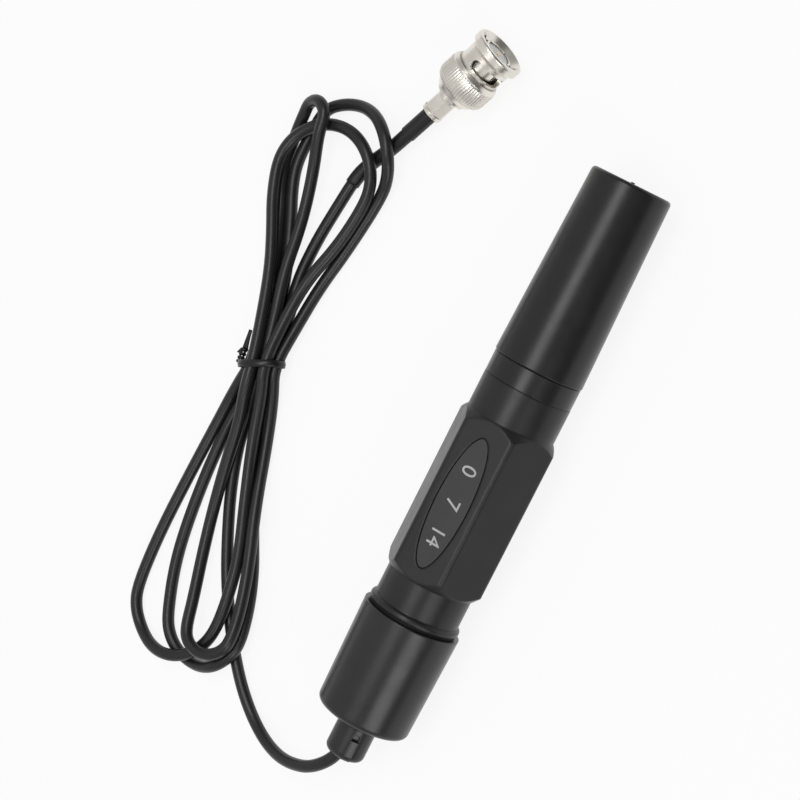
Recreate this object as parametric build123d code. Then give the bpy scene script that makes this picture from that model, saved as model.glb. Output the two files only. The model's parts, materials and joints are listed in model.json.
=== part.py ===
from build123d import *
import math
import os

# A pH electrode lying on a table: its axis along +X with the tip at +X, its tied cable on the +Y side.

# Lengths of the electrode, from the cable end to the tip
NIPPLE_LENGTH = 10.9
REAR_CAP_LENGTH = 29.0
REAR_GAP = 0.8
LIP_LENGTH = 1.7
NECK_LENGTH = 8.2
GRIP_LENGTH = 44.0
COLLAR_LENGTH = 9.5
BAND_LENGTH = 5.7
CAP_LENGTH = 50.3
GATE_HEIGHT = 0.3

# Outer diameters of the electrode
NIPPLE_DIAMETER = 10.4
REAR_CAP_END_DIAMETER = 24.8
REAR_CAP_RIM_DIAMETER = 26.0
LIP_DIAMETER = 24.4
NECK_DIAMETER = 22.7
GRIP_ACROSS_FLATS = 24.0
COLLAR_DIAMETER = 23.3
BAND_DIAMETER = 23.2
CAP_MOUTH_DIAMETER = 23.6
CAP_TIP_DIAMETER = 21.1
GATE_DIAMETER = 1.0

# Walls
CAP_WALL = 2.0
CAP_END_WALL = 1.8
REAR_CAP_WALL = 2.2
REAR_CAP_RIM_WALL = 1.9
REAR_CAP_END_WALL = 2.4
HANDLE_BORE = 17.0
SENSOR_WALL = 1.5
SENSOR_END_WALL = 4.0
GUARD_WALL = 1.3

# Edges
CAP_TIP_ROUND = 1.1
REAR_CAP_END_ROUND = 1.7
NIPPLE_ROOT_ROUND = 2.2
NIPPLE_END_ROUND = 1.8
SEAM_BEVEL = 0.25
GRIP_CORNER_ROUND = 1.4
GRIP_END_BEVEL = 2.6

# Clearances between pieces, on the radius
GLUE_FIT = 0.05
RUNNING_FIT = 0.08
LABEL_GROOVE = 0.3

# Oval label inlay on the upper flat of the grip
LABEL_LENGTH = 35.0
LABEL_WIDTH = 8.8
LABEL_DEPTH = 0.6
LABEL_MARGIN = 4.1

# Bell mouth, rib and pocket of the cable nipple
BELL_DIAMETER = 6.2
BELL_DEPTH = 6.2
RIB_LENGTH = 6.0
RIB_WIDTH = 2.4
RIB_HEIGHT = 0.35
RIB_ANGLE = 33.0
POCKET_LENGTH = 1.6
POCKET_WIDTH = 1.7
POCKET_DEPTH = 0.8

# Joints between the mouldings
REAR_SPIGOT_LENGTH = 9.0
REAR_SPIGOT_ROOM = 0.5
REAR_RING_RECESS = 0.5
TAIL_SPIGOT_LENGTH = 14.0
FRONT_SPIGOT_LENGTH = 10.0
POTTING_LENGTH = 9.0
O_RING_SECTION = 1.8
O_RING_PROUD = 0.02

# Sensing end
CAP_END_ROOM = 8.0
SHAFT_ROOM = 1.4
GUARD_LENGTH = 12.0
GUARD_SLOT_WIDTH = 4.4
GUARD_SLOT_LENGTH = 9.0
GUARD_SLOTS = 4
GLASS_STEM_DIAMETER = 5.0
GLASS_WALL = 0.8
BULB_DIAMETER = 7.2
BULB_STANDOFF = 4.8
STEM_SEAL_DIAMETER = 6.4
JUNCTION_DIAMETER = 1.4
BUNG_LENGTH = 6.0
STEM_BEHIND_BUNG = 3.0
WIRE_DIAMETER = 0.8
WIRE_IN_POTTING = 3.0

# Bayonet plug, along its axis from the rear of the ferrule
FERRULE_LENGTH = 7.0
FERRULE_DIAMETER = 6.0
FERRULE_WALL = 0.75
CRIMP_ACROSS_FLATS = 5.5
CRIMP_MARGIN = 1.0
PLUG_COLLAR_LENGTH = 1.0
PLUG_COLLAR_DIAMETER = 8.8
BARREL_DIAMETER = 8.6
CONTACT_DIAMETER = 8.2
CONTACT_WALL = 0.6
CONTACT_SETBACK = 1.0
CONTACT_SLOT_WIDTH = 0.7
CONTACT_SLOT_LENGTH = 8.0
CONTACT_SLOTS = 4
INSULATOR_SETBACK = 0.4
PIN_DIAMETER = 1.4
PIN_PROUD = 0.2
STEM_SETBACK = 1.0

# Coupling nut of the plug
NUT_GAP = 0.1
NUT_DIAMETER = 14.5
NUT_REAR_DIAMETER = 10.6
NUT_TAPER_LENGTH = 2.9
KNURL_LENGTH = 4.8
NUT_SHOULDER_LENGTH = 0.9
SLEEVE_DIAMETER = 12.3
SLEEVE_LENGTH = 5.1
FLARE_LENGTH = 0.9
FLANGE_LENGTH = 2.3
NUT_WALL = 1.1
NUT_REAR_WALL = 2.5
FUNNEL_DIAMETER = 12.8
FUNNEL_DEPTH = 1.8
BAYONET_WIDTH = 3.0
BAYONET_SETBACK = 6.0
BAYONET_TURN = 10.0
BAYONET_ARC = 100.0
ENTRY_DEPTH = 0.6
WASHER_LENGTH = 0.4
RETAINING_RING_LENGTH = 0.6
RETAINING_GROOVE_DEPTH = 0.5
GASKET_LENGTH = 1.0
RING_ROOM = 0.15
AXIAL_ROOM = 0.05

# Where the plug lies: rear of its ferrule, its heading and how far its front is tipped up
PLUG_AT = (73.1, 59.7)
PLUG_HEADING = -27.6
PLUG_TIP_UP = 8.0

# Cable, its shrink sleeve, its hank and the twist tie
CABLE_DIAMETER = 3.3
SHRINK_LENGTH = 10.0
SHRINK_DIAMETER = 4.4
SHRINK_STEP_LENGTH = 1.5
SHRINK_STEP_DIAMETER = 3.9
HANK_HEIGHT = 8.2
HANK_ROUND = 2.4
BUNDLE_STRANDS = 4
BUNDLE_REACH = 6.0
TIE_AT = (-5.5, 72.9)
TIE_HEADING = 12.0
TIE_WIDTH = 1.9
TIE_THICKNESS = 0.6
TIE_TAIL_DIAMETER = 1.5
TIE_TAIL_LENGTH = 7.0

# Stations along the electrode
OVERALL_LENGTH = (NIPPLE_LENGTH + REAR_CAP_LENGTH + REAR_GAP + LIP_LENGTH + NECK_LENGTH + GRIP_LENGTH
                  + COLLAR_LENGTH + BAND_LENGTH + CAP_LENGTH + GATE_HEIGHT)
X_END = -OVERALL_LENGTH / 2
X_REAR = X_END + NIPPLE_LENGTH
X_RIM = X_REAR + REAR_CAP_LENGTH
X_LIP = X_RIM + REAR_GAP
X_NECK = X_LIP + LIP_LENGTH
X_GRIP = X_NECK + NECK_LENGTH
X_COLLAR = X_GRIP + GRIP_LENGTH
X_BAND = X_COLLAR + COLLAR_LENGTH
X_MOUTH = X_BAND + BAND_LENGTH
X_TIP = X_MOUTH + CAP_LENGTH
AXIS_HEIGHT = max(REAR_CAP_RIM_DIAMETER, REAR_CAP_END_DIAMETER, LIP_DIAMETER, NECK_DIAMETER,
                  GRIP_ACROSS_FLATS, COLLAR_DIAMETER, BAND_DIAMETER, CAP_MOUTH_DIAMETER, CAP_TIP_DIAMETER) / 2

# Sizes that follow from the fits
CAP_BORE = CAP_TIP_DIAMETER - 2 * CAP_WALL
CAP_MOUTH_BORE = CAP_MOUTH_DIAMETER - 2 * CAP_WALL
FRONT_SPIGOT_DIAMETER = CAP_MOUTH_BORE - 2 * RUNNING_FIT
SHAFT_DIAMETER = CAP_BORE - 2 * SHAFT_ROOM
SENSOR_BORE = SHAFT_DIAMETER - 2 * SENSOR_WALL
GUARD_BORE = SHAFT_DIAMETER - 2 * GUARD_WALL
TAIL_SPIGOT_DIAMETER = HANDLE_BORE - 2 * GLUE_FIT
REAR_CAP_BORE = REAR_CAP_END_DIAMETER - 2 * REAR_CAP_WALL
REAR_RIM_BORE = REAR_CAP_RIM_DIAMETER - 2 * REAR_CAP_RIM_WALL
REAR_SPIGOT_DIAMETER = REAR_RIM_BORE - 2 * GLUE_FIT
CABLE_HOLE = CABLE_DIAMETER + 2 * GLUE_FIT
WIRE_HOLE = WIRE_DIAMETER + 2 * GLUE_FIT
STEM_HOLE = GLASS_STEM_DIAMETER + 2 * GLUE_FIT

# Stations of the sensing end and of the inside
X_SPIGOT_END = X_MOUTH + FRONT_SPIGOT_LENGTH
X_GUARD_END = X_TIP - CAP_END_WALL - CAP_END_ROOM
X_GUARD = X_GUARD_END - GUARD_LENGTH
X_END_WALL = X_GUARD - SENSOR_END_WALL
X_BULB = X_GUARD + BULB_STANDOFF
X_TAIL = X_BAND - TAIL_SPIGOT_LENGTH
X_STEM = X_TAIL - STEM_BEHIND_BUNG
X_POTTING = X_REAR + REAR_CAP_END_WALL
X_POTTING_FRONT = X_POTTING + POTTING_LENGTH
X_WIRES = X_POTTING_FRONT - WIRE_IN_POTTING
REFERENCE_OFFSET = (GLASS_STEM_DIAMETER + SENSOR_BORE) / 4
JUNCTION_OFFSET = (STEM_SEAL_DIAMETER + SENSOR_BORE) / 4

# Stations of the plug
P_COLLAR = FERRULE_LENGTH
P_NUT = P_COLLAR + PLUG_COLLAR_LENGTH + NUT_GAP
P_KNURL = P_NUT + NUT_TAPER_LENGTH
P_SHOULDER = P_KNURL + KNURL_LENGTH
P_SLEEVE = P_SHOULDER + NUT_SHOULDER_LENGTH
P_FLARE = P_SLEEVE + SLEEVE_LENGTH
P_FLANGE = P_FLARE + FLARE_LENGTH
P_FRONT = P_FLANGE + FLANGE_LENGTH
P_WASHER = P_NUT + NUT_REAR_WALL + AXIAL_ROOM
P_RING = P_WASHER + WASHER_LENGTH + AXIAL_ROOM
P_GASKET = P_RING + RETAINING_RING_LENGTH + AXIAL_ROOM
P_CONTACT = P_FRONT - CONTACT_SETBACK
P_INSULATOR = P_GASKET + GASKET_LENGTH
P_INSULATOR_FRONT = P_CONTACT - INSULATOR_SETBACK
P_STEM = STEM_SETBACK
NUT_BORE = SLEEVE_DIAMETER - 2 * NUT_WALL
RING_DIAMETER = NUT_BORE - 2 * RING_ROOM
FERRULE_BORE = FERRULE_DIAMETER - 2 * FERRULE_WALL
PLUG_HEIGHT = (NUT_DIAMETER / 2 * math.cos(math.radians(PLUG_TIP_UP))
               - P_KNURL * math.sin(math.radians(PLUG_TIP_UP)))

ELECTRODE = Pos(0, 0, AXIS_HEIGHT)
PLUG = Pos(*PLUG_AT, PLUG_HEIGHT) * Rot(0, 0, PLUG_HEADING) * Rot(0, -PLUG_TIP_UP, 0)
BUNDLE_WIDTH = BUNDLE_STRANDS * CABLE_DIAMETER
BUNDLE_HEIGHT = (1 + math.sqrt(3) / 2) * CABLE_DIAMETER
TIE_HEIGHT = BUNDLE_HEIGHT / 2 + GLUE_FIT + TIE_THICKNESS
TIE = Pos(*TIE_AT, TIE_HEIGHT) * Rot(0, 0, TIE_HEADING)


# Shapes used again and again
def turned(corners, rounds=None):
    """Solid of revolution about the X axis from (x, radius) corners; rounds gives a fillet by corner number."""
    face = make_face(Polyline(*corners, close=True))
    for number, radius in (rounds or {}).items():
        corner = face.vertices().sort_by_distance(Vector(*corners[number], 0))[0]
        face = fillet(corner, radius)
    return revolve(face, Axis.X)


def rod(start, end, diameter):
    """Round bar on the X axis between two stations."""
    return Pos((start + end) / 2, 0, 0) * Rot(0, 90, 0) * Cylinder(diameter / 2, end - start)


def ring(start, end, outer, inner):
    """Plain ring on the X axis between two stations, from its two diameters."""
    return turned([(start, inner / 2), (start, outer / 2), (end, outer / 2), (end, inner / 2)])


def around(count, shape):
    """Copies of a shape spaced evenly about the X axis."""
    return [Rot(360 / count * number, 0, 0) * shape for number in range(count)]


# Storage cap: drafted cup with a stepped mouth that slides on the sensor body's front spigot
def storage_cap():
    mouth = CAP_MOUTH_DIAMETER / 2
    tip = CAP_TIP_DIAMETER / 2
    outside = turned(
        [(X_MOUTH, 0), (X_MOUTH, mouth - SEAM_BEVEL), (X_MOUTH + SEAM_BEVEL, mouth), (X_TIP, tip), (X_TIP, 0)],
        {3: CAP_TIP_ROUND})
    gate = rod(X_TIP - CAP_END_WALL / 2, X_TIP + GATE_HEIGHT, GATE_DIAMETER)
    mouth_bore = rod(X_MOUTH, X_SPIGOT_END + RUNNING_FIT, CAP_MOUTH_BORE)
    inside = rod(X_MOUTH, X_TIP - CAP_END_WALL, CAP_BORE)
    return outside + gate - mouth_bore - inside


# Sensor body: glued tail spigot, band, front spigot with its ring groove, shaft and slotted bulb guard
def sensor_body():
    tail = rod(X_TAIL, X_BAND, TAIL_SPIGOT_DIAMETER)
    band = turned([(X_BAND, 0), (X_BAND, BAND_DIAMETER / 2), (X_MOUTH - SEAM_BEVEL, BAND_DIAMETER / 2),
                   (X_MOUTH, BAND_DIAMETER / 2 - SEAM_BEVEL), (X_MOUTH, 0)])
    spigot = rod(X_MOUTH, X_SPIGOT_END, FRONT_SPIGOT_DIAMETER)
    shaft = rod(X_SPIGOT_END, X_GUARD_END, SHAFT_DIAMETER)
    body = tail + band + spigot + shaft
    body -= rod(X_TAIL, X_END_WALL, SENSOR_BORE)
    body -= rod(X_END_WALL, X_GUARD, STEM_SEAL_DIAMETER)
    body -= rod(X_GUARD, X_GUARD_END, GUARD_BORE)
    body -= Pos(0, 0, JUNCTION_OFFSET) * rod(X_END_WALL, X_GUARD, JUNCTION_DIAMETER + 2 * GLUE_FIT)
    groove_at = (X_MOUTH + X_SPIGOT_END) / 2
    body -= ring(groove_at - O_RING_SECTION / 2 - GLUE_FIT, groove_at + O_RING_SECTION / 2 + GLUE_FIT,
                 FRONT_SPIGOT_DIAMETER + 1, FRONT_SPIGOT_DIAMETER - 2 * O_RING_SECTION)
    slot_at = X_GUARD_END - GUARD_SLOT_LENGTH / 2
    slot = Pos(slot_at, 0, SHAFT_DIAMETER / 2) * Box(GUARD_SLOT_LENGTH, GUARD_SLOT_WIDTH, SHAFT_DIAMETER)
    return body - around(GUARD_SLOTS, slot)


def cap_o_ring():
    groove_at = (X_MOUTH + X_SPIGOT_END) / 2
    middle = FRONT_SPIGOT_DIAMETER / 2 + O_RING_PROUD - O_RING_SECTION / 2
    section = Pos(groove_at, middle) * Circle(O_RING_SECTION / 2)
    return revolve(section, Axis.X)


# Glass electrode and what holds it in the sensor body
def glass_electrode():
    bulb = Pos(X_BULB, 0, 0) * Sphere(BULB_DIAMETER / 2)
    hollow_bulb = Pos(X_BULB, 0, 0) * Sphere(BULB_DIAMETER / 2 - GLASS_WALL)
    stem = rod(X_STEM, X_BULB, GLASS_STEM_DIAMETER)
    hollow_stem = rod(X_STEM, X_BULB, GLASS_STEM_DIAMETER - 2 * GLASS_WALL)
    return stem + bulb - hollow_stem - hollow_bulb


def stem_seal():
    return ring(X_END_WALL, X_GUARD, STEM_SEAL_DIAMETER - 2 * GLUE_FIT, STEM_HOLE)


def reference_junction():
    return Pos(0, 0, JUNCTION_OFFSET) * rod(X_END_WALL, X_GUARD, JUNCTION_DIAMETER)


def chamber_bung():
    bung = ring(X_TAIL, X_TAIL + BUNG_LENGTH, SENSOR_BORE - 2 * GLUE_FIT, STEM_HOLE)
    return bung - Pos(0, 0, -REFERENCE_OFFSET) * rod(X_TAIL, X_TAIL + BUNG_LENGTH, WIRE_HOLE)


def inner_reference_wire():
    return rod(X_WIRES, X_BULB, WIRE_DIAMETER)


def reference_wire():
    return Pos(0, 0, -REFERENCE_OFFSET) * rod(X_WIRES, X_SPIGOT_END, WIRE_DIAMETER)


# Handle: rear spigot, lip, neck, hexagonal grip with turned ends, and collar, all one moulding with a through bore
def handle():
    end_radius = GRIP_ACROSS_FLATS / 2 - SEAM_BEVEL
    corner_radius = GRIP_ACROSS_FLATS / math.sqrt(3)
    turned_ends = turned([
        (X_GRIP, 0), (X_GRIP, end_radius), (X_GRIP + GRIP_END_BEVEL, corner_radius),
        (X_COLLAR - GRIP_END_BEVEL, corner_radius), (X_COLLAR, end_radius), (X_COLLAR, 0)])
    hexagon = fillet(RegularPolygon(GRIP_ACROSS_FLATS / 2, 6, major_radius=False).vertices(), GRIP_CORNER_ROUND)
    grip = extrude(Plane.YZ.offset(X_GRIP) * hexagon, GRIP_LENGTH) & turned_ends
    rear_spigot = rod(X_RIM - REAR_SPIGOT_LENGTH, X_LIP, REAR_SPIGOT_DIAMETER)
    lip = turned([(X_LIP, 0), (X_LIP, LIP_DIAMETER / 2), (X_NECK, LIP_DIAMETER / 2), (X_NECK, 0)],
                 {1: SEAM_BEVEL, 2: LIP_LENGTH / 2})
    neck = rod(X_NECK, X_GRIP, NECK_DIAMETER)
    collar = turned([(X_COLLAR, 0), (X_COLLAR, COLLAR_DIAMETER / 2), (X_BAND, COLLAR_DIAMETER / 2), (X_BAND, 0)],
                    {2: SEAM_BEVEL})
    bore = rod(X_RIM - REAR_SPIGOT_LENGTH, X_BAND, HANDLE_BORE)
    recess = label_oval(LABEL_GROOVE)
    return rear_spigot + lip + neck + grip + collar - bore - recess


def label_oval(margin):
    """Oval on the upper flat of the grip, as deep as the label is thick, grown by a margin all round."""
    label_at = X_GRIP + LABEL_MARGIN + LABEL_LENGTH / 2
    oval = Ellipse(LABEL_LENGTH / 2 + margin, LABEL_WIDTH / 2 + margin)
    return extrude(Pos(label_at, 0, GRIP_ACROSS_FLATS / 2 - LABEL_DEPTH) * oval, LABEL_DEPTH)


def label_plate():
    return label_oval(0)


# Rear cap: drafted cup over the handle's rear spigot, with the cable nipple, its rib and pocket
def rear_cap():
    outside = turned(
        [(X_END, 0), (X_END, NIPPLE_DIAMETER / 2), (X_REAR, NIPPLE_DIAMETER / 2),
         (X_REAR, REAR_CAP_END_DIAMETER / 2), (X_RIM, REAR_CAP_RIM_DIAMETER / 2), (X_RIM, 0)],
        {1: NIPPLE_END_ROUND, 2: NIPPLE_ROOT_ROUND, 3: REAR_CAP_END_ROUND, 4: SEAM_BEVEL})
    rib_top = NIPPLE_DIAMETER / 2 + RIB_HEIGHT
    rib_end = X_END + RIB_LENGTH
    rib = Pos((X_END + rib_end) / 2, 0, rib_top / 2) * Box(RIB_LENGTH, RIB_WIDTH, rib_top)
    rib = fillet(rib.edges().filter_by(Axis.X).sort_by(Axis.Z)[-2:], RIB_HEIGHT)
    rib &= turned([(X_END, 0), (X_END, rib_top), (rib_end, rib_top), (rib_end, 0)], {1: NIPPLE_END_ROUND})
    pocket = Pos(rib_end + POCKET_LENGTH / 2, 0, rib_top)
    pocket *= Box(POCKET_LENGTH, POCKET_WIDTH, 2 * (RIB_HEIGHT + POCKET_DEPTH))
    body = outside + Rot(RIB_ANGLE, 0, 0) * rib - Rot(RIB_ANGLE, 0, 0) * pocket
    body -= rod(X_POTTING, X_RIM, REAR_CAP_BORE)
    body -= rod(X_RIM - REAR_SPIGOT_LENGTH - REAR_SPIGOT_ROOM, X_RIM, REAR_RIM_BORE)
    body -= turned([(X_END, 0), (X_END, BELL_DIAMETER / 2), (X_END + BELL_DEPTH, CABLE_HOLE / 2),
                    (X_POTTING, CABLE_HOLE / 2), (X_POTTING, 0)])
    return body


def rear_seal_ring():
    return ring(X_RIM, X_LIP, LIP_DIAMETER - 2 * REAR_RING_RECESS, REAR_SPIGOT_DIAMETER + 2 * GLUE_FIT)


def potting_plug():
    plug = rod(X_POTTING, X_POTTING_FRONT, REAR_CAP_BORE - 2 * GLUE_FIT)
    plug -= rod(X_WIRES, X_POTTING_FRONT, WIRE_HOLE)
    return plug - Pos(0, 0, -REFERENCE_OFFSET) * rod(X_WIRES, X_POTTING_FRONT, WIRE_HOLE)


# Plug: ferrule with a hexagonal crimp, body with its split contact, insulator, pin and the rings behind the nut
def crimp_ferrule():
    tube = rod(0, FERRULE_LENGTH, FERRULE_DIAMETER)
    crimp_length = FERRULE_LENGTH - 2 * CRIMP_MARGIN
    crimp = ring(CRIMP_MARGIN, FERRULE_LENGTH - CRIMP_MARGIN, FERRULE_DIAMETER + 1, FERRULE_BORE)
    hexagon = RegularPolygon(CRIMP_ACROSS_FLATS / 2, 6, major_radius=False)
    crimp -= extrude(Plane.YZ.offset(CRIMP_MARGIN) * hexagon, crimp_length)
    return tube - crimp - rod(0, FERRULE_LENGTH, FERRULE_BORE)


def plug_body():
    stem = FERRULE_BORE / 2 - GLUE_FIT
    collar = PLUG_COLLAR_DIAMETER / 2
    barrel = BARREL_DIAMETER / 2
    groove = barrel - RETAINING_GROOVE_DEPTH
    contact = CONTACT_DIAMETER / 2
    inside = contact - CONTACT_WALL
    body = turned([
        (P_STEM, 0), (P_STEM, stem), (P_COLLAR, stem), (P_COLLAR, collar), (P_COLLAR + PLUG_COLLAR_LENGTH, collar),
        (P_COLLAR + PLUG_COLLAR_LENGTH, barrel), (P_RING - AXIAL_ROOM, barrel), (P_RING - AXIAL_ROOM, groove),
        (P_RING + RETAINING_RING_LENGTH + AXIAL_ROOM, groove), (P_GASKET, contact),
        (P_CONTACT, contact), (P_CONTACT, inside), (P_INSULATOR, inside), (P_INSULATOR, 0)])
    slot = Pos(P_CONTACT - CONTACT_SLOT_LENGTH / 2, 0, contact)
    slot *= Box(CONTACT_SLOT_LENGTH, CONTACT_SLOT_WIDTH, 2 * CONTACT_WALL + CONTACT_SLOT_WIDTH)
    return body - around(CONTACT_SLOTS, slot)


def insulator():
    return ring(P_INSULATOR, P_INSULATOR_FRONT, CONTACT_DIAMETER - 2 * CONTACT_WALL - 2 * GLUE_FIT,
                PIN_DIAMETER + 2 * GLUE_FIT)


def centre_pin():
    end = P_INSULATOR_FRONT + PIN_PROUD
    radius = PIN_DIAMETER / 2
    return turned([(P_INSULATOR, 0), (P_INSULATOR, radius), (end, radius), (end, 0)], {2: radius / 2})


def spring_washer():
    return ring(P_WASHER, P_WASHER + WASHER_LENGTH, RING_DIAMETER, BARREL_DIAMETER + 2 * GLUE_FIT)


def retaining_ring():
    inner = BARREL_DIAMETER - 2 * RETAINING_GROOVE_DEPTH + 2 * GLUE_FIT
    return ring(P_RING, P_RING + RETAINING_RING_LENGTH, RING_DIAMETER, inner)


def plug_gasket():
    return ring(P_GASKET, P_GASKET + GASKET_LENGTH, RING_DIAMETER, CONTACT_DIAMETER + 2 * GLUE_FIT)


# Coupling nut: tapered rear, grip ring, sleeve with two bayonet slots, and flared front flange
def coupling_nut():
    outer = NUT_DIAMETER / 2
    sleeve = SLEEVE_DIAMETER / 2
    bore = NUT_BORE / 2
    rear_bore = BARREL_DIAMETER / 2 + RUNNING_FIT
    nut = turned(
        [(P_NUT, rear_bore), (P_NUT, NUT_REAR_DIAMETER / 2), (P_KNURL, outer), (P_SHOULDER, outer),
         (P_SLEEVE, (outer + sleeve) / 2), (P_SLEEVE, sleeve), (P_FLARE, sleeve), (P_FLANGE, outer),
         (P_FRONT, outer), (P_FRONT, FUNNEL_DIAMETER / 2), (P_FRONT - FUNNEL_DEPTH, bore),
         (P_NUT + NUT_REAR_WALL, bore), (P_NUT + NUT_REAR_WALL, rear_bore)],
        {8: FLANGE_LENGTH / 3})
    slot_at = P_FRONT - BAYONET_SETBACK
    slot_face = Pos(slot_at, (bore + outer) / 2) * Rectangle(BAYONET_WIDTH, bore)
    slot = Rot(90, 0, 0) * revolve(slot_face, Axis.X, BAYONET_ARC)
    slot_end = Pos(slot_at, 0, (bore + outer) / 2) * Cylinder(BAYONET_WIDTH / 2, bore)
    entry_depth = bore + ENTRY_DEPTH
    entry = Pos((slot_at + P_FRONT) / 2, 0, entry_depth / 2) * Box(BAYONET_SETBACK, BAYONET_WIDTH, entry_depth)
    cuts = slot + slot_end + Rot(BAYONET_ARC, 0, 0) * (slot_end + entry)
    return nut - around(2, Rot(BAYONET_TURN, 0, 0) * cuts)


# Cable: the largest arcs that its straight runs leave room for
def cord_tube(name, points):
    """Round cable along a route of points, with its arcs and its volume printed."""
    runs = [Vector(*end) - Vector(*start) for start, end in zip(points, points[1:])]
    radii = []
    for before, after in zip(runs, runs[1:]):
        half_turn = math.radians(before.get_angle(after)) / 2
        radii.append(0.45 * min(before.length, after.length) / math.tan(half_turn))
    path = FilletPolyline(*points, radius=radii)
    section = Plane(origin=path @ 0, z_dir=path % 0) * Circle(CABLE_DIAMETER / 2)
    tube = sweep(section, path)
    expected = math.pi * CABLE_DIAMETER**2 / 4 * path.length
    print(name, "radii", [round(radius, 1) for radius in radii], "length", round(path.length, 1),
          "volume over section times length", round(tube.volume / expected, 4))
    return tube


def on_plug(station):
    """Point on the plug's axis at a station."""
    return tuple((PLUG * Pos(station, 0, 0)).position)


TABLE = CABLE_DIAMETER / 2
TAIL_ROUTE = [
    (X_POTTING, 0, AXIS_HEIGHT), (X_END + 1.0, 0, AXIS_HEIGHT), (X_END - 7.9, 5.8, 11.6),
    (X_END - 11.9, 14.2, 8.0), (X_END - 12.5, 22.0, 4.2), (X_END - 9.9, 29.8, 1.9),
    (-84.7, 37.0, TABLE), (-77.7, 43.6, TABLE)]
LEAD_ROUTE = [(49.8, 73.2, TABLE), (54.8, 70.5, 2.1), on_plug(-SHRINK_LENGTH - 5), on_plug(P_STEM)]


# Hank: two flat lobes of cable with the openings between their strands, drawn into a flat bundle at the tie
LOWER_BIGHTS = [((-73.7, 64.5), 15.4), ((-73.7, 55.0), 13.8)]
UPPER_BIGHTS = [((58.5, 90.2), 5.5), ((51.7, 78.2), 16.4), ((45.8, 79.9), 15.6)]
OPENINGS = [
    [((52.5, 78.4), 5.0), ((26.3, 77.8), 0.8)], [((44.3, 69.8), 2.0), ((26.3, 72.4), 0.9)],
    [((-80.2, 70.4), 3.4), ((-45.7, 76.6), 0.8)], [((-76.7, 62.2), 3.0), ((-30.7, 72.2), 1.0)],
    [((-71.2, 54.9), 2.6), ((-50.7, 63.6), 0.9)], [((-54.7, 56.6), 1.0), ((-34.7, 64.4), 1.3)]]


def outline(circles):
    """Outline stretched round circles, each given by its centre and radius."""
    discs = Sketch() + [Pos(*centre) * Circle(radius) for centre, radius in circles]
    return make_hull(discs.edges())


def lobe(bights, side):
    """Flat lobe of the hank from the tie to its bights, with a rounded upper edge."""
    neck = (TIE * Pos(side * BUNDLE_REACH, 0, 0)).position
    plan = outline(bights + [((neck.X, neck.Y), BUNDLE_WIDTH / 2)])
    slab = extrude(plan, HANK_HEIGHT)
    return fillet(slab.faces().sort_by(Axis.Z)[-1].edges(), HANK_ROUND)


def bundle_bar(length, margin):
    """Bar with the bundle's flat rounded section, grown by a margin all round, centred on the tie."""
    section = RectangleRounded(BUNDLE_WIDTH + 2 * margin, BUNDLE_HEIGHT + 2 * margin, CABLE_DIAMETER / 2 + margin)
    return extrude(Plane.YZ.offset(-length / 2) * section, length)


def cable_hank():
    lobes = lobe(LOWER_BIGHTS, -1) + lobe(UPPER_BIGHTS, 1)
    gaps = [extrude(outline(circles), HANK_HEIGHT) for circles in OPENINGS]
    tie_room = Box(TIE_WIDTH + BUNDLE_REACH, 2 * BUNDLE_WIDTH, 3 * HANK_HEIGHT)
    return lobes - gaps - TIE * tie_room + TIE * bundle_bar(2 * BUNDLE_REACH, 0)


def twist_tie():
    strap = bundle_bar(TIE_WIDTH, GLUE_FIT + TIE_THICKNESS) - bundle_bar(TIE_WIDTH, GLUE_FIT)
    edge = BUNDLE_WIDTH / 2 + GLUE_FIT + (TIE_THICKNESS + TIE_TAIL_DIAMETER) / 2
    tail = Pos(0, edge, BUNDLE_HEIGHT / 4) * rod(-TIE_WIDTH / 2, TIE_TAIL_LENGTH, TIE_TAIL_DIAMETER)
    return strap + tail


def heat_shrink_sleeve():
    step = SHRINK_STEP_LENGTH - SHRINK_LENGTH
    outside = rod(-SHRINK_LENGTH, step, SHRINK_STEP_DIAMETER) + rod(step, 0, SHRINK_DIAMETER)
    return outside - rod(-SHRINK_LENGTH, 0, CABLE_HOLE)


# Every piece in its place
ON_ELECTRODE = [storage_cap, cap_o_ring, sensor_body, glass_electrode, stem_seal, reference_junction, chamber_bung,
                inner_reference_wire, reference_wire, handle, label_plate, rear_cap, rear_seal_ring, potting_plug]
ON_PLUG = [heat_shrink_sleeve, crimp_ferrule, plug_body, insulator, centre_pin, spring_washer, retaining_ring,
           plug_gasket, coupling_nut]
pieces = {make.__name__: ELECTRODE * make() for make in ON_ELECTRODE}
pieces.update({make.__name__: PLUG * make() for make in ON_PLUG})
pieces["cable_tail"] = cord_tube("tail", TAIL_ROUTE)
pieces["cable_lead"] = cord_tube("lead", LEAD_ROUTE)
pieces["cable_hank"] = cable_hank()
pieces["twist_tie"] = TIE * twist_tie()

os.makedirs("parts", exist_ok=True)
for name, piece in pieces.items():
    export_step(piece, f"parts/{name}.step")
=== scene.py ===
# A capped pH electrode lying beside its tied cable and bayonet plug
import json
import math

import bpy
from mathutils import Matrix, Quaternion, Vector

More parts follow.
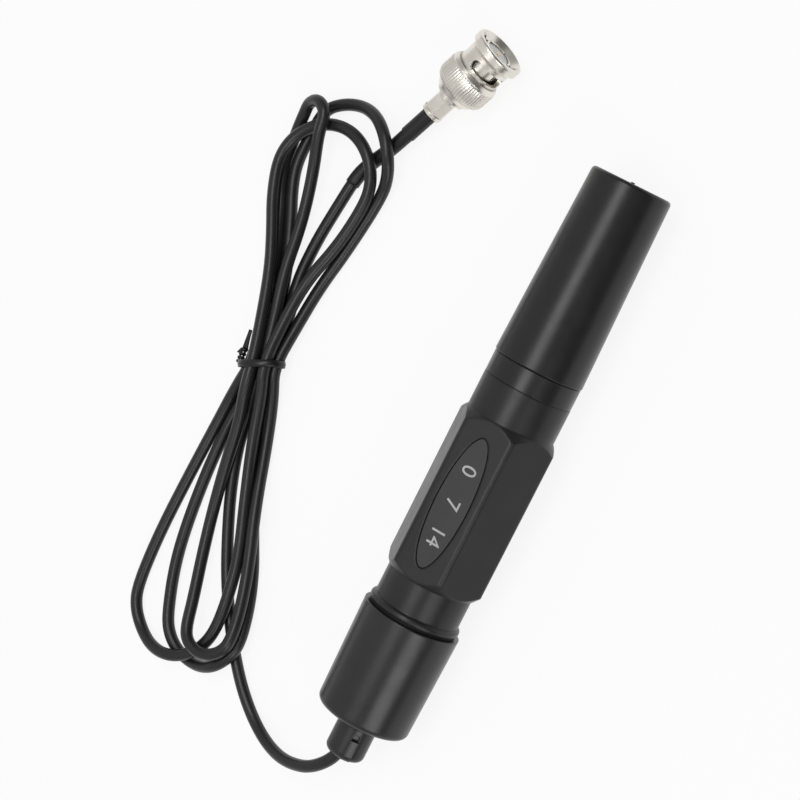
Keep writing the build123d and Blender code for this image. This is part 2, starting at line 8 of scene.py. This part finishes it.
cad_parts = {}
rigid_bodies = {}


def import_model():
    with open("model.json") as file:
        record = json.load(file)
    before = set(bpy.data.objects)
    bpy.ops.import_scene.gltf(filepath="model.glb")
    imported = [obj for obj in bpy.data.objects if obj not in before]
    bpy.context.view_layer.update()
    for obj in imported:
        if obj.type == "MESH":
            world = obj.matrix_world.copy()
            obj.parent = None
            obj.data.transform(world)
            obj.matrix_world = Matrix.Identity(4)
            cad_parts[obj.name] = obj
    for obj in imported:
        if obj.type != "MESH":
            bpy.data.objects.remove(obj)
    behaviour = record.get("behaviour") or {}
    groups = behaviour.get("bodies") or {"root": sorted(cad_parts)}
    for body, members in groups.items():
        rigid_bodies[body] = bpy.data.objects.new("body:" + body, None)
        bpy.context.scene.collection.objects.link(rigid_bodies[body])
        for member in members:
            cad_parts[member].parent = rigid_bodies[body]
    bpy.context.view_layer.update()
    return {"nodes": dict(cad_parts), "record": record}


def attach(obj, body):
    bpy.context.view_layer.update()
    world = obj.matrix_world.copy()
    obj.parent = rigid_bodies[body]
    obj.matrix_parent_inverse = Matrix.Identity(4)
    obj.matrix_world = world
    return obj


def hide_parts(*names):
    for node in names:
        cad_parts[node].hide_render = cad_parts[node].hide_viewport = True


# Lengths below are millimetres, as on the part; the scene itself is in metres
MM = 0.001

# The camera
CAMERA_AT = (79.3, -158.73, 474.8)
CAMERA_AIM = (5.8, 29.12, 13.0)
CAMERA_ROLL = -83.25
CAMERA_LENS = 90.0

# The electrode
LABEL_MIDDLE = -8.0
LABEL_TOP = 25.0
NUMBERS = ("0", "7", "14")
NUMBER_SIZE = 5.5
NUMBER_PITCH = 9.0
INK_HEIGHT = 0.02

# The cable and its hank
CABLE_DIAMETER = 3.3
LOW = CABLE_DIAMETER / 2
BUNDLE_PITCH = 3.25

# The twist tie: a flat strip with a wire in its middle
TIE_AT = (-5.4, 71.9)
TIE_HEADING = math.radians(12)
STRAP_HEADING = math.radians(26)
TIE_LIFT = 0.65
STRAP_HALF_WIDTH = 6.5
STRAP_HALF_HEIGHT = 4.75
STRAP_SLACK = 0.4
STRAP_STEPS = 48
TIE_STRIP = [(-0.95, -0.1), (-0.4, -0.14), (0, -0.28), (0.4, -0.14), (0.95, -0.1),
             (0.95, 0.1), (0.4, 0.14), (0, 0.28), (-0.4, 0.14), (-0.95, 0.1)]
TWIST_START = (-8.3, 78.4, 5.0)
TWIST_END = (-4.6, 78.9, 4.8)
TWIST_TURNS = 1.75
TWIST_RADIUS = 0.45
TWIST_STEPS = 16
TIP_TAPER = 0.5
TIP_STEPS = 6
TIE_TIPS = [(1.0, 79.4, 5.4), (-6.2, 80.4, 4.2)]

# The bayonet plug, measured along its axis from the back of its ferrule
# Each ring of the knurl: its place, its radius and how far its ribs rise
KNURL_PROFILE = [(9.4, 5.9, 0), (9.4, 6.25, 0), (9.8, 6.6, 1), (10.5, 7.0, 1), (11.2, 7.2, 1),
                 (15.0, 7.2, 1), (15.6, 7.1, 0.5), (15.7, 6.9, 0), (15.7, 6.6, 0)]
KNURL_TOOTH = (0.0, 0.9, 1.0, 0.9)
KNURL_RISE = 0.2
KNURL_RIBS = 60
SLEEVE_DIAMETER = 3.9
SLEEVE_LENGTH = 30.0
SLEEVE_SIDES = 24

# Surfaces: the span of noise that is used, how far polish varies and the reach of the shade painted into
# hollows
NOISE_LOW = 0.3
NOISE_HIGH = 0.7
PLASTIC_POLISH = 0.025
METAL_POLISH = 0.03
METAL_GRAIN = 0.0003
METAL_EDGE = 0.1
GLASS_WAVES = 0.01
PAINTED_SHADE_REACH = 1.0

# The surroundings: a floor in metres, and a world that is pale on one side and dim on the other
FLOOR_HALF = 6.0
FLOOR_DROP = 0.0002
FLOOR_GREY = 0.85
FLOOR_WHITE_SHARE = 0.88
PALE_SIDE = (-0.55, 0.8, 0.2)
PALE_GREY = 0.65
PALE_FROM = 0.8
DIM_GREY = 0.12
DIM_UNTIL = 0.15


def place(point):
    """A point given in millimetres, as the scene's metres."""
    return Vector(point) * MM


def clear_start():
    """Removes the objects that an empty file opens with."""
    for obj in list(bpy.data.objects):
        bpy.data.objects.remove(obj)


def make_camera():
    """The photograph's view: from above and a little in front, rolled almost a quarter turn."""
    camera = bpy.data.objects.new("camera", bpy.data.cameras.new("camera"))
    camera.data.lens = CAMERA_LENS
    camera.data.clip_start = 0.01
    view = place(CAMERA_AIM) - place(CAMERA_AT)
    camera.rotation_mode = "QUATERNION"
    roll = Quaternion((0, 0, 1), math.radians(CAMERA_ROLL))
    camera.rotation_quaternion = view.to_track_quat("-Z", "Y") @ roll
    camera.location = place(CAMERA_AT)
    bpy.context.scene.collection.objects.link(camera)
    bpy.context.scene.camera = camera


# Places on the plug and in the tied bundle

def plug_turn(frame):
    """The joint that the coupling nut turns on; its axis is the plug's axis."""
    joints = frame["record"]["behaviour"]["joints"]
    return next(joint for joint in joints if joint["name"] == "nut_turn")


def on_plug(frame, station):
    """A point on the plug's axis, in millimetres."""
    turn = plug_turn(frame)
    start = Vector(turn["pos_m"]) / MM
    return start + Vector(turn["axis"]) * station


def in_bundle(across, row):
    """The middle of one strand where the tie holds it, counted in strands from the tie's middle."""
    x = TIE_AT[0] - math.sin(TIE_HEADING) * across * BUNDLE_PITCH
    y = TIE_AT[1] + math.cos(TIE_HEADING) * across * BUNDLE_PITCH
    rise = row * math.sqrt(3) / 2 * BUNDLE_PITCH
    return (x, y, LOW + TIE_LIFT + rise)


# The cable

def bight(x, y, radius, start, end, heights):
    """The fold at one end of the hank: points round an arc, one for each height."""
    points = []
    for step, height in enumerate(heights):
        angle = math.radians(start + (end - start) * step / (len(heights) - 1))
        points.append((x + radius * math.cos(angle), y + radius * math.sin(angle), height))
    return points


def cable_route(frame):
    """The cable from the electrode, seven times through its tie, to the plug."""
    route = [(-66.9, 0, 13), (-79.2, 0, 13), (-88.1, 5.8, 11.6), (-92.1, 14.2, 8.0)]
    route += [(-92.7, 22.0, 4.2), (-90.1, 29.8, 1.9), (-84.7, 37, LOW), (-77.7, 43.6, LOW)]
    # First pass up the hank and over the small upper fold
    route += [(-70.2, 49.5, LOW), (-61.2, 55.5, LOW), (-50.7, 61, LOW), (-39.7, 66, LOW)]
    route += [(-28.7, 69.6, LOW), (-20.7, 70.8, LOW), (-12.7, 71.6, 4.2), in_bundle(0, 1)]
    route += [(7.3, 74.9, 4.9), (19.3, 78.2, 5), (32.3, 79.9, 4.6), (45.3, 82.7, 5.7), (54.8, 84.8, 8.4)]
    route += bight(58.6, 89.5, 4.3, -80, 88, (8.8, 8.9, 8.7, 8.0, 7.0, 5.8, 4.7, 3.7))
    route += [(54.3, 94.3, 2.4), (50.3, 94.3, LOW), (44.3, 93.9, LOW), (38.3, 91.7, LOW)]
    route += [(32.3, 88.7, LOW), (19.3, 83, LOW), (7.3, 79.2, 2.9), in_bundle(1, 1)]
    # Second pass, round the outer lower fold
    route += [(-14.7, 77.3, 2.6), (-25.7, 78.2, LOW), (-43.7, 79, LOW), (-60.7, 79.4, LOW)]
    route += bight(-73.7, 64.5, 14.2, 100, 270, (LOW, LOW, LOW, 3.5, 5.1, 5.2, 5.1, 5))
    route += [(-64.7, 51.2, 5), (-53.7, 53.6, 4.6), (-39.7, 59.2, 4.8), (-24.7, 64.8, 5)]
    route += [(-12.7, 67.8, 6.2), in_bundle(-0.5, 2), (7.3, 71.5, 5.8), (19.3, 71.4, 4.6)]
    route += [(31.3, 67.6, 4.6)]
    route += bight(45.6, 79.9, 14.3, -98, 98, (4.9, 5.4, 6.2, 6.2, 5.3, 5, 5, 5.1, 5.1))
    route += [(34.8, 91, 5), (27.3, 87, 4.8), (18.3, 82.6, 4.9), (7.3, 78.2, 6.2), in_bundle(0.5, 2)]
    # Third pass, round the tight lower fold
    route += [(-13.7, 72.2, 7.5), (-21.7, 70.4, 5.9), (-33.7, 69, 4.9), (-46.7, 67.2, 3.3)]
    route += [(-58.7, 64, 3.7), (-69.7, 59.8, 5.7)]
    route += bight(-73.1, 51, 7.4, 125, 270, (7.5, 8.4, 8.5, 8.5, 8.5, 8.2))
    route += [(-64.7, 45.6, 6.8), (-53.7, 49.8, 5.2), (-39.7, 55.8, 4.6), (-24.7, 62, 1.8)]
    route += [(-12.7, 65.8, 2.8), in_bundle(-1, 1), (7.3, 69, 2.6), (19.3, 68.4, LOW), (31.3, 66, LOW)]
    route += bight(51.7, 78.2, 15.2, -104, 50, (2.4, 5.1, 7.6, 7.6, 5.1, 2.4, LOW, LOW))
    route += [(54.3, 90.4, LOW), (45.3, 90.6, LOW), (38.3, 88.2, LOW), (32.3, 85.1, LOW)]
    route += [(19.3, 79.4, LOW), (7.3, 75.7, LOW), in_bundle(0.5, 0)]
    # Last pass, round the middle lower fold and out to the plug
    route += [(-13.7, 73.8, LOW), (-23.7, 75, LOW), (-39.7, 74.6, LOW), (-55.7, 73, LOW)]
    route += [(-66.7, 70.8, LOW)]
    route += bight(-73.7, 55, 12.5, 110, 272, (LOW, LOW, LOW, LOW, 3.1, 5, 5, 4.3))
    route += [(-63.7, 45.8, 2.4), (-55.7, 49.4, LOW), (-48.7, 53.3, LOW), (-40.7, 57.8, LOW)]
    route += [(-30.7, 63, LOW), (-20.7, 67.1, LOW), (-12.7, 69.2, LOW), in_bundle(-0.5, 0)]
    route += [(7.3, 72.4, LOW), (17.3, 75.1, LOW), (29.3, 75.2, LOW), (40.3, 73.8, 2.1)]
    route += [(49.8, 72.6, 2.2), (54.8, 70.4, 2.3)]
    return route + [on_plug(frame, station) for station in (-15, -7, 1)]


def make_cable(frame):
    """The round cable, one smooth curve, and the points along its middle line."""
    route = cable_route(frame)
    curve = bpy.data.curves.new("cable", "CURVE")
    curve.dimensions = "3D"
    curve.resolution_u = 8
    spline = curve.splines.new("NURBS")
    spline.points.add(len(route) - 1)
    for point, at in zip(spline.points, route):
        point.co = (*place(at), 1)
    spline.order_u = 3
    spline.use_endpoint_u = True
    cable = bpy.data.objects.new("cable", curve)
    bpy.context.scene.collection.objects.link(cable)
    line = middle_line(cable)
    curve.bevel_depth = CABLE_DIAMETER / 2 * MM
    curve.bevel_resolution = 6
    curve.use_fill_caps = True
    return cable, line


def middle_line(cable):
    """The points of a curve that has no thickness yet."""
    mesh = bpy.data.meshes.new_from_object(cable)
    points = [vertex.co.copy() for vertex in mesh.vertices]
    bpy.data.meshes.remove(mesh)
    return points


# Meshes made of rings of points

def skin(name, rings, endless=False):
    """A smooth closed mesh through rings of points, capped, or endless and joined round."""
    count = len(rings[0])
    points = [point for ring in rings for point in ring]
    faces = []
    for step in range(len(rings) if endless else len(rings) - 1):
        here = step * count
        there = (step + 1) % len(rings) * count
        for side in range(count):
            after = (side + 1) % count
            faces.append((here + side, here + after, there + after, there + side))
    if not endless:
        faces.append(tuple(reversed(range(count))))
        faces.append(tuple(range(len(points) - count, len(points))))
    mesh = bpy.data.meshes.new(name)
    mesh.from_pydata(points, [], faces)
    mesh.shade_smooth()
    obj = bpy.data.objects.new(name, mesh)
    bpy.context.scene.collection.objects.link(obj)
    return obj


def crosswise(axis):
    """Two directions square to an axis and to each other."""
    side = axis.cross(Vector((0, 0, 1))).normalized()
    return side, side.cross(axis).normalized()


def ring_about(middle, side, up, reaches):
    """Points round a middle, evenly spaced, one for each reach."""
    ring = []
    for step, reach in enumerate(reaches):
        angle = step * math.tau / len(reaches)
        ring.append(middle + side * math.cos(angle) * reach + up * math.sin(angle) * reach)
    return ring


def make_sleeve(line):
    """The thin shrink sleeve, following the cable's last stretch up to the plug."""
    points = [line[-1]]
    run = 0.0
    for point in reversed(line[:-1]):
        run += (point - points[-1]).length
        points.append(point)
        if run > SLEEVE_LENGTH * MM:
            break
    rings = []
    last = len(points) - 1
    reaches = [SLEEVE_DIAMETER / 2 * MM] * SLEEVE_SIDES
    for index, point in enumerate(points):
        ahead = points[max(index - 1, 0)] - points[min(index + 1, last)]
        side, up = crosswise(ahead.normalized())
        rings.append(ring_about(point, side, up, reaches))
    return skin("thin_sleeve", rings)


def make_knurl(frame):
    """The fine straight ribs round the coupling nut, rounded off at both ends."""
    axis = Vector(plug_turn(frame)["axis"])
    side, up = crosswise(axis)
    rings = []
    for station, radius, share in KNURL_PROFILE:
        middle = place(on_plug(frame, station))
        tooth = [(radius + KNURL_RISE * share * height) * MM for height in KNURL_TOOTH]
        rings.append(ring_about(middle, side, up, tooth * KNURL_RIBS))
    return skin("knurl_ribs", rings, endless=True)


def strip(name, stations, endless=False):
    """A length of the tie's strip through stations: each a place, the way across and the way out."""
    rings = []
    for at, wide, out in stations:
        rings.append([at + (wide * across + out * high) * MM for across, high in TIE_STRIP])
    return skin(name, rings, endless)


def make_strap():
    """The part of the tie that goes round the strands: an oval, a little aslant."""
    along = Vector((math.cos(STRAP_HEADING), math.sin(STRAP_HEADING), 0))
    across = Vector((-math.sin(STRAP_HEADING), math.cos(STRAP_HEADING), 0))
    up = Vector((0, 0, 1))
    middle = Vector(in_bundle(0, 1)) + across * STRAP_SLACK
    stations = []
    for step in range(STRAP_STEPS):
        angle = step * math.tau / STRAP_STEPS
        sideways = across * math.cos(angle)
        upwards = up * math.sin(angle)
        at = middle + sideways * STRAP_HALF_WIDTH + upwards * STRAP_HALF_HEIGHT
        out = sideways * STRAP_HALF_HEIGHT + upwards * STRAP_HALF_WIDTH
        stations.append((place(at), along, out.normalized()))
    return strip("tie_strap", stations, endless=True)


def make_tie_end(number, tip):
    """One end of the tie: twisted with the other one, then free."""
    start = Vector(TWIST_START)
    end = Vector(TWIST_END)
    axis = (end - start).normalized()
    side, up = crosswise(axis)
    stations = []
    for step in range(TWIST_STEPS + 1):
        share = step / TWIST_STEPS
        angle = math.pi * number + math.tau * TWIST_TURNS * share
        out = side * math.cos(angle) + up * math.sin(angle)
        wide = up * math.cos(angle) - side * math.sin(angle)
        stations.append((place(start.lerp(end, share) + out * TWIST_RADIUS), wide, out))
    twist_end, wide, out = stations[-1]
    bend = place(end + axis)
    for step in range(1, TIP_STEPS + 1):
        share = step / TIP_STEPS
        at = twist_end.lerp(bend, share).lerp(bend.lerp(place(tip), share), share)
        stations.append((at, wide * (1 - TIP_TAPER * share), out))
    return strip(f"tie_end_{number + 1}", stations)


def make_numbers():
    """Plain numbers on the label, read from the tip towards the cable."""
    numbers = []
    for index, text in enumerate(NUMBERS):
        curve = bpy.data.curves.new(f"label_number_{text}", "FONT")
        curve.body = text
        curve.size = NUMBER_SIZE * MM
        curve.align_x = "CENTER"
        curve.align_y = "CENTER"
        curve.extrude = INK_HEIGHT * MM
        number = bpy.data.objects.new(curve.name, curve)
        number.location = place((LABEL_MIDDLE + NUMBER_PITCH * (1 - index), 0, LABEL_TOP + INK_HEIGHT))
        number.rotation_euler = (0, 0, math.pi)
        bpy.context.scene.collection.objects.link(number)
        numbers.append(number)
    return numbers


# Materials

def new_material(name):
    """An empty node material: itself, its node tree and its shader."""
    material = bpy.data.materials.new(name)
    material.use_nodes = True
    tree = material.node_tree
    return material, tree, tree.nodes["Principled BSDF"]


def grey(level):
    """A neutral colour."""
    return (level, level, level)


def noise(tree, scale, detail=3.0):
    """Soft noise fixed to the object, 0 to 1, with about this many clouds to the metre."""
    where = tree.nodes.new("ShaderNodeTexCoord")
    texture = tree.nodes.new("ShaderNodeTexNoise")
    texture.inputs["Scale"].default_value = scale
    texture.inputs["Detail"].default_value = detail
    tree.links.new(where.outputs["Object"], texture.inputs["Vector"])
    return texture.outputs["Fac"]


def colour_ramp(tree, value, first, last):
    """A colour by a value, from a first to a last stop, each a position and a colour."""
    ramp = tree.nodes.new("ShaderNodeValToRGB")
    for element, (position, colour) in zip(ramp.color_ramp.elements, (first, last)):
        element.position = position
        element.color = (*colour, 1)
    tree.links.new(value, ramp.inputs["Fac"])
    return ramp.outputs["Color"]


def blend_colours(tree, value, first, second):
    """A colour between two, by a noise value."""
    return colour_ramp(tree, value, (NOISE_LOW, first), (NOISE_HIGH, second))


def between(tree, value, low, high):
    """A noise value spread from low to high."""
    spread = tree.nodes.new("ShaderNodeMapRange")
    spread.inputs["From Min"].default_value = NOISE_LOW
    spread.inputs["From Max"].default_value = NOISE_HIGH
    spread.inputs["To Min"].default_value = low
    spread.inputs["To Max"].default_value = high
    tree.links.new(value, spread.inputs["Value"])
    return spread.outputs["Result"]


def raise_surface(tree, shader, value, height, edge=0.0):
    """Bumps on the surface, a given height in millimetres, with edges softened by a radius."""
    bump = tree.nodes.new("ShaderNodeBump")
    bump.inputs["Strength"].default_value = 1.0
    bump.inputs["Distance"].default_value = height * MM
    tree.links.new(value, bump.inputs["Height"])
    if edge:
        soft = tree.nodes.new("ShaderNodeBevel")
        soft.samples = 6
        soft.inputs["Radius"].default_value = edge * MM
        tree.links.new(soft.outputs["Normal"], bump.inputs["Normal"])
    tree.links.new(bump.outputs["Normal"], shader.inputs["Normal"])


def around_colour(colour, share):
    """A colour made deeper and paler by a share."""
    deep = [channel * (1 - share) for channel in colour]
    pale = [channel * (1 + share) for channel in colour]
    return deep, pale


def moulded(name, colour, rough, grain, edge=0.2, gloss=0.4):
    """Moulded plastic or rubber: faintly clouded colour, uneven polish and a fine grain."""
    material, tree, shader = new_material(name)
    clouds = blend_colours(tree, noise(tree, scale=120), *around_colour(colour, share=0.12))
    tree.links.new(clouds, shader.inputs["Base Color"])
    polish = between(tree, noise(tree, scale=260), rough - PLASTIC_POLISH, rough + PLASTIC_POLISH)
    tree.links.new(polish, shader.inputs["Roughness"])
    shader.inputs["Specular IOR Level"].default_value = gloss
    raise_surface(tree, shader, noise(tree, scale=3500, detail=2.0), grain, edge)
    return material


def paint_shade_in_hollows(tree, colour, shader):
    """A colour darkened by painted shade in grooves and slots, from ambient occlusion."""
    # Painted shade: ambient occlusion darkens the base colour where grooves and slots would fall into
    # shadow
    hollow = tree.nodes.new("ShaderNodeAmbientOcclusion")
    hollow.samples = 8
    hollow.inputs["Distance"].default_value = PAINTED_SHADE_REACH * MM
    tree.links.new(colour, hollow.inputs["Color"])
    tree.links.new(hollow.outputs["Color"], shader.inputs["Base Color"])


def plated(name, colour, rough):
    """Plated metal with a slightly uneven polish and shade painted into its hollows."""
    material, tree, shader = new_material(name)
    clouds = blend_colours(tree, noise(tree, scale=150, detail=1.0), *around_colour(colour, share=0.06))
    # Painted shade in the grooves and slots of every plated part
    paint_shade_in_hollows(tree, clouds, shader)
    shader.inputs["Metallic"].default_value = 1.0
    polish = between(tree, noise(tree, scale=300, detail=1.0), rough - METAL_POLISH, rough + METAL_POLISH)
    tree.links.new(polish, shader.inputs["Roughness"])
    raise_surface(tree, shader, noise(tree, scale=500, detail=1.0), METAL_GRAIN, METAL_EDGE)
    return material


def clear_glass():
    """Clear thin glass with faint waviness."""
    material, tree, shader = new_material("clear_glass")
    colour = blend_colours(tree, noise(tree, scale=200), (0.95, 0.98, 0.97), grey(1.0))
    tree.links.new(colour, shader.inputs["Base Color"])
    shader.inputs["Transmission Weight"].default_value = 1.0
    shader.inputs["IOR"].default_value = 1.5
    shader.inputs["Roughness"].default_value = 0.02
    raise_surface(tree, shader, noise(tree, scale=250, detail=1.0), GLASS_WAVES)
    return material


def make_materials():
    """Every material, by the name of the slot that it finishes."""
    black = grey(0.007)
    return {
        "cap_plastic": moulded("cap_plastic", grey(0.01), rough=0.31, grain=0.002),
        "handle_plastic": moulded("handle_plastic", grey(0.016), rough=0.34, grain=0.002, edge=0.7,
                                  gloss=0.34),
        "sensor_plastic": moulded("sensor_plastic", grey(0.01), rough=0.3, grain=0.002),
        "rear_plastic": moulded("rear_plastic", grey(0.018), rough=0.3, grain=0.002, edge=0.3),
        "label_plastic": moulded("label_plastic", grey(0.03), rough=0.45, grain=0.003, edge=0.05),
        "seal_rubber": moulded("seal_rubber", black, rough=0.6, grain=0.004, gloss=0.2),
        "gasket_rubber": moulded("gasket_rubber", (0.45, 0.17, 0.12), rough=0.6, grain=0.004),
        "clear_glass": clear_glass(),
        "stem_sealant": moulded("stem_sealant", (0.55, 0.55, 0.53), rough=0.45, grain=0.004),
        "junction_ceramic": moulded("junction_ceramic", (0.75, 0.73, 0.68), rough=0.7, grain=0.006),
        "silver_wire": plated("silver_wire", (0.8, 0.79, 0.77), rough=0.25),
        "epoxy": moulded("epoxy", (0.012, 0.011, 0.01), rough=0.3, grain=0.003),
        "cable_jacket": moulded("cable_jacket", grey(0.015), rough=0.33, grain=0.003, edge=0),
        "tie_plastic": moulded("tie_plastic", black, rough=0.32, grain=0.002, edge=0),
        "shrink_tube": moulded("shrink_tube", black, rough=0.4, grain=0.004, edge=0),
        "nickel_plate": plated("nickel_plate", (0.82, 0.78, 0.71), rough=0.31),
        "spring_steel": plated("spring_steel", grey(0.5), rough=0.35),
        "pin_gold": plated("pin_gold", (0.84, 0.7, 0.46), rough=0.3),
        "ptfe": moulded("ptfe", (0.88, 0.88, 0.87), rough=0.5, grain=0.002),
    }


def label_ink():
    """Light grey print."""
    return moulded("label_ink", grey(0.42), rough=0.6, grain=0.001, edge=0)


def finish_nodes(frame, materials):
    """Gives each node the material of its slot."""
    for obj in frame["nodes"].values():
        for slot in obj.material_slots:
            slot.material = materials[slot.material.name.split(".")[0]]


# Floor, surroundings and light

def combine(tree, operation, first, second):
    """The sum or product of two values, the second one linked or a plain number."""
    node = tree.nodes.new("ShaderNodeMath")
    node.operation = operation
    tree.links.new(first, node.inputs[0])
    if isinstance(second, float):
        node.inputs[1].default_value = second
    else:
        tree.links.new(second, node.inputs[1])
    return node.outputs["Value"]


def floor_white():
    """A pale matt surface that looks nearly white, straight or mirrored, and keeps a faint shadow."""
    material, tree, shader = new_material("floor_white")
    shader.inputs["Base Color"].default_value = (*grey(FLOOR_GREY), 1)
    shader.inputs["Roughness"].default_value = 0.9
    shader.inputs["Specular IOR Level"].default_value = 0.1
    path = tree.nodes.new("ShaderNodeLightPath").outputs
    seen = combine(tree, "ADD", path["Is Camera Ray"], path["Is Glossy Ray"])
    seen = combine(tree, "ADD", seen, path["Is Transmission Ray"])
    white = tree.nodes.new("ShaderNodeEmission")
    mix = tree.nodes.new("ShaderNodeMixShader")
    tree.links.new(combine(tree, "MULTIPLY", seen, FLOOR_WHITE_SHARE), mix.inputs["Fac"])
    tree.links.new(shader.outputs["BSDF"], mix.inputs[1])
    tree.links.new(white.outputs["Emission"], mix.inputs[2])
    tree.links.new(mix.outputs["Shader"], tree.nodes["Material Output"].inputs["Surface"])
    return material


def make_floor():
    """A wide floor just under the object."""
    corners = [(x * FLOOR_HALF, y * FLOOR_HALF, 0) for x, y in ((-1, -1), (1, -1), (1, 1), (-1, 1))]
    mesh = bpy.data.meshes.new("floor")
    mesh.from_pydata(corners, [], [(0, 1, 2, 3)])
    mesh.materials.append(floor_white())
    floor = bpy.data.objects.new("floor", mesh)
    floor.location = (0, 0, -FLOOR_DROP)
    bpy.context.scene.collection.objects.link(floor)


def make_world():
    """Soft surroundings: pale behind the cable, dim on the side of the tip."""
    world = bpy.data.worlds.new("studio")
    world.use_nodes = True
    tree = world.node_tree
    where = tree.nodes.new("ShaderNodeTexCoord")
    facing = tree.nodes.new("ShaderNodeVectorMath")
    facing.operation = "DOT_PRODUCT"
    facing.inputs[1].default_value = PALE_SIDE
    spread = tree.nodes.new("ShaderNodeMapRange")
    spread.inputs["From Min"].default_value = -1.0
    spread.inputs["From Max"].default_value = 1.0
    tree.links.new(where.outputs["Generated"], facing.inputs[0])
    tree.links.new(facing.outputs["Value"], spread.inputs["Value"])
    dim = (DIM_UNTIL, grey(DIM_GREY))
    pale = (PALE_FROM, grey(PALE_GREY))
    sky = colour_ramp(tree, spread.outputs["Result"], dim, pale)
    tree.links.new(sky, tree.nodes["Background"].inputs["Color"])
    bpy.context.scene.world = world


def make_light(name, at, aim, size, power):
    """A soft rectangular lamp aimed at a point, in metres and watts."""
    lamp = bpy.data.lights.new(name, "AREA")
    lamp.shape = "RECTANGLE"
    lamp.size, lamp.size_y = size
    lamp.energy = power
    obj = bpy.data.objects.new(name, lamp)
    obj.location = at
    obj.rotation_euler = (Vector(aim) - Vector(at)).to_track_quat("-Z", "Y").to_euler()
    bpy.context.scene.collection.objects.link(obj)


def make_lights():
    """A long soft box overhead, in line with the electrode, and a small one low beside the cable end."""
    make_light("overhead", at=(0.2, 0, 1.0), aim=(0.2, 0, 0), size=(1.0, 0.36), power=4.7)
    make_light("beside", at=(-0.38, -0.7, 0.6), aim=(0, 0, 0), size=(0.3, 0.55), power=2.2)


# The scene

clear_start()
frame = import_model()
make_camera()
materials = make_materials()
finish_nodes(frame, materials)

cable, line = make_cable(frame)
sleeve = make_sleeve(line)
strap = make_strap()
tie_ends = [make_tie_end(number, tip) for number, tip in enumerate(TIE_TIPS)]
knurl = make_knurl(frame)
finishes = [(cable, "cable_jacket"), (sleeve, "shrink_tube"), (strap, "tie_plastic"),
            (knurl, "nickel_plate")]
finishes += [(end, "tie_plastic") for end in tie_ends]
for piece, slot in finishes:
    piece.data.materials.append(materials[slot])
ink = label_ink()
for number in make_numbers():
    number.data.materials.append(ink)
    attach(number, "electrode")
for piece in (cable, sleeve, strap, *tie_ends):
    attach(piece, "electrode")
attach(knurl, "nut")
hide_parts("cable_tail", "cable_hank", "cable_lead")
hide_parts("twist_tie")
plug_nodes = ["heat_shrink_sleeve", "crimp_ferrule", "plug_body", "insulator", "centre_pin"]
plug_nodes += ["spring_washer", "retaining_ring", "plug_gasket", "coupling_nut"]

make_floor()
make_world()
make_lights()
bpy.context.scene.view_settings.view_transform = "Standard"
